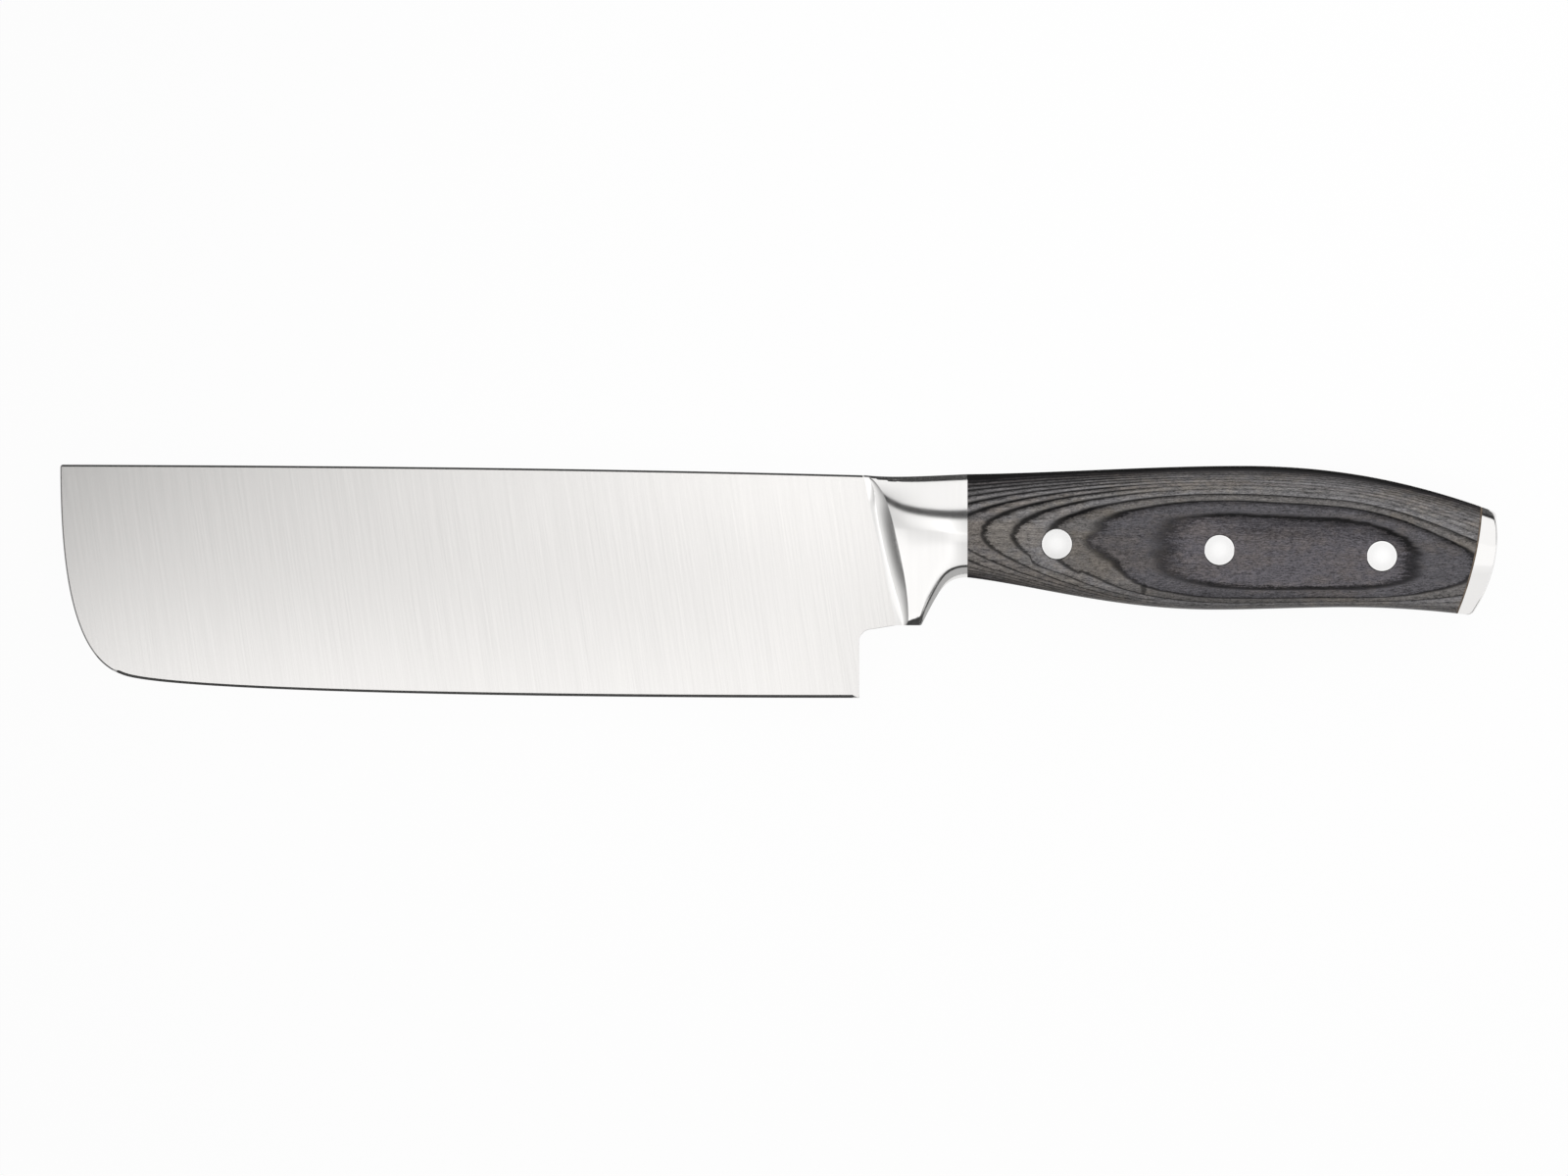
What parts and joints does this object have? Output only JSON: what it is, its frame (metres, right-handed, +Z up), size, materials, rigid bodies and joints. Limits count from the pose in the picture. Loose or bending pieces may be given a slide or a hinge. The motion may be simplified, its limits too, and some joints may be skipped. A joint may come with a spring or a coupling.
{
  "type": "nakiri knife",
  "caption": "Straight-edged vegetable knife with a tall squared blade, forged bolster, full tang, riveted laminated wood scales and a steel butt cap, lying on its side.",
  "frame": {"origin": "middle of the knife's bounding box seen from above, on the surface it lies on", "axes": "+X from the blade's tip to the butt, +Y towards the spine, +Z up, out of the knife's left side"},
  "size_m": [0.3204, 0.052, 0.0187],
  "materials": {
    "blade_steel": "satin, with fine brush lines across the blade, polished on the bolster",
    "polished_steel": "polished stainless steel",
    "laminated_wood": "black and grey veneers bonded with resin, sanded and sealed to a low sheen"
  },
  "bodies": {
    "root": {"blade_and_tang": "blade_steel", "scale_left": "laminated_wood", "scale_right": "laminated_wood", "butt_cap": "polished_steel", "rivet_front_socket": "polished_steel", "rivet_front_pin": "polished_steel", "rivet_middle_socket": "polished_steel", "rivet_middle_pin": "polished_steel", "rivet_rear_socket": "polished_steel", "rivet_rear_pin": "polished_steel"}
  },
  "joints": []
}
